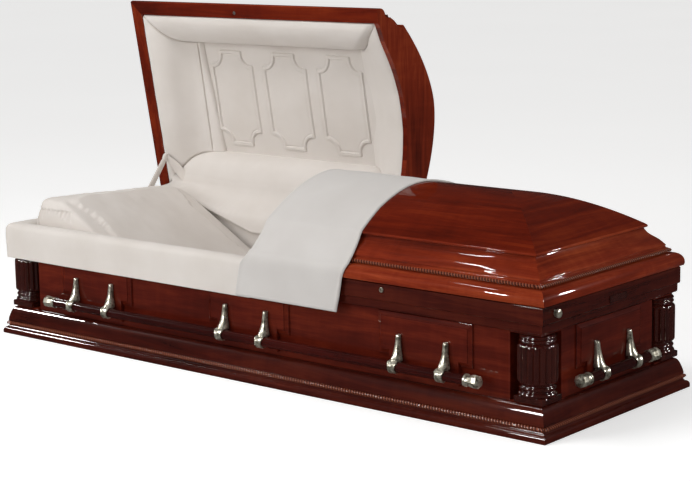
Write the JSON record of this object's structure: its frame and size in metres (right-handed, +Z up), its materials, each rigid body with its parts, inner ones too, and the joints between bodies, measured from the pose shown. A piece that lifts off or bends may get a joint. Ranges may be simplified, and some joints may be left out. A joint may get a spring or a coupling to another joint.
{
  "type": "half-couch burial casket",
  "caption": "Hardwood burial casket with moulded base and lids, reeded corner columns, bar handles, cloth lining, head lid open, foot lid shut.",
  "frame": {"origin": "centre of the underside", "axes": "+X towards the foot end, -Y the front long side that the lids open from, +Z up"},
  "size_m": [2.152, 0.8981, 1.0469],
  "materials": {
    "wood": "high-gloss red-brown lacquer",
    "lid_wood": "high-gloss red-brown lacquer",
    "dark_wood": "high-gloss dark lacquer",
    "bar_wood": "high-gloss near-black lacquer",
    "cast_metal": "satin antique",
    "ivory_cloth": "velvet",
    "throw_cloth": "velvet"
  },
  "bodies": {
    "casket_body": {"bottom_board": "dark_wood", "base_moulding_front": "wood", "base_moulding_back": "wood", "base_moulding_head": "wood", "base_moulding_foot": "wood", "side_wall_front": "wood", "side_wall_back": "wood", "end_wall_head": "wood", "end_wall_foot": "wood", "column_head_front": "dark_wood", "column_head_back": "dark_wood", "column_foot_front": "dark_wood", "column_foot_back": "dark_wood", "rim_moulding_front": "wood", "rim_moulding_back": "wood", "rim_moulding_head": "wood", "rim_moulding_foot": "wood", "handle_bar_front": "bar_wood", "bar_tip_front_head": "cast_metal", "bar_tip_front_foot": "cast_metal", "handle_arm_front_1": "cast_metal", "handle_arm_front_2": "cast_metal", "handle_arm_front_3": "cast_metal", "handle_arm_front_4": "cast_metal", "handle_arm_front_5": "cast_metal", "handle_arm_front_6": "cast_metal", "handle_bar_back": "bar_wood", "bar_tip_back_head": "cast_metal", "bar_tip_back_foot": "cast_metal", "handle_arm_back_1": "cast_metal", "handle_arm_back_2": "cast_metal", "handle_arm_back_3": "cast_metal", "handle_arm_back_4": "cast_metal", "handle_arm_back_5": "cast_metal", "handle_arm_back_6": "cast_metal", "handle_bar_head": "bar_wood", "bar_tip_head_front": "cast_metal", "bar_tip_head_back": "cast_metal", "handle_arm_head_1": "cast_metal", "handle_arm_head_2": "cast_metal", "handle_bar_foot": "bar_wood", "bar_tip_foot_front": "cast_metal", "bar_tip_foot_back": "cast_metal", "handle_arm_foot_1": "cast_metal", "handle_arm_foot_2": "cast_metal", "record_tube_cap": "cast_metal", "key_lock": "cast_metal", "name_plate": "dark_wood", "mattress": "ivory_cloth", "pillow": "ivory_cloth", "body_lining": "ivory_cloth", "skirt": "ivory_cloth", "hinge_rod": "cast_metal"},
    "foot_lid": {"foot_lid": "lid_wood", "overlay": "throw_cloth"},
    "head_lid": {"head_lid": "lid_wood", "lid_roll": "ivory_cloth", "cap_panel": "ivory_cloth", "lid_catch": "cast_metal"},
    "lid_stay": {"lid_stay": "ivory_cloth"}
  },
  "joints": [
    {"name": "head_lid_hinge", "type": "hinge", "parent": "casket_body", "child": "head_lid", "pos_m": [0, 0.357, 0.349], "axis": [-1, 0, 0], "range_deg": [-80.2, 0]},
    {"name": "foot_lid_hinge", "type": "hinge", "parent": "casket_body", "child": "foot_lid", "pos_m": [0, 0.357, 0.349], "axis": [-1, 0, 0], "range_deg": [0, 80]},
    {"name": "stay_swing", "type": "hinge", "parent": "head_lid", "child": "lid_stay", "pos_m": [-0.985, 0.32437, 0.50269], "axis": [1, 0, 0], "range_deg": [-123.5, 0]}
  ],
  "couplings": [
    {"joint": "stay_swing", "follows": "head_lid_hinge", "ratio": 1.5362}
  ]
}
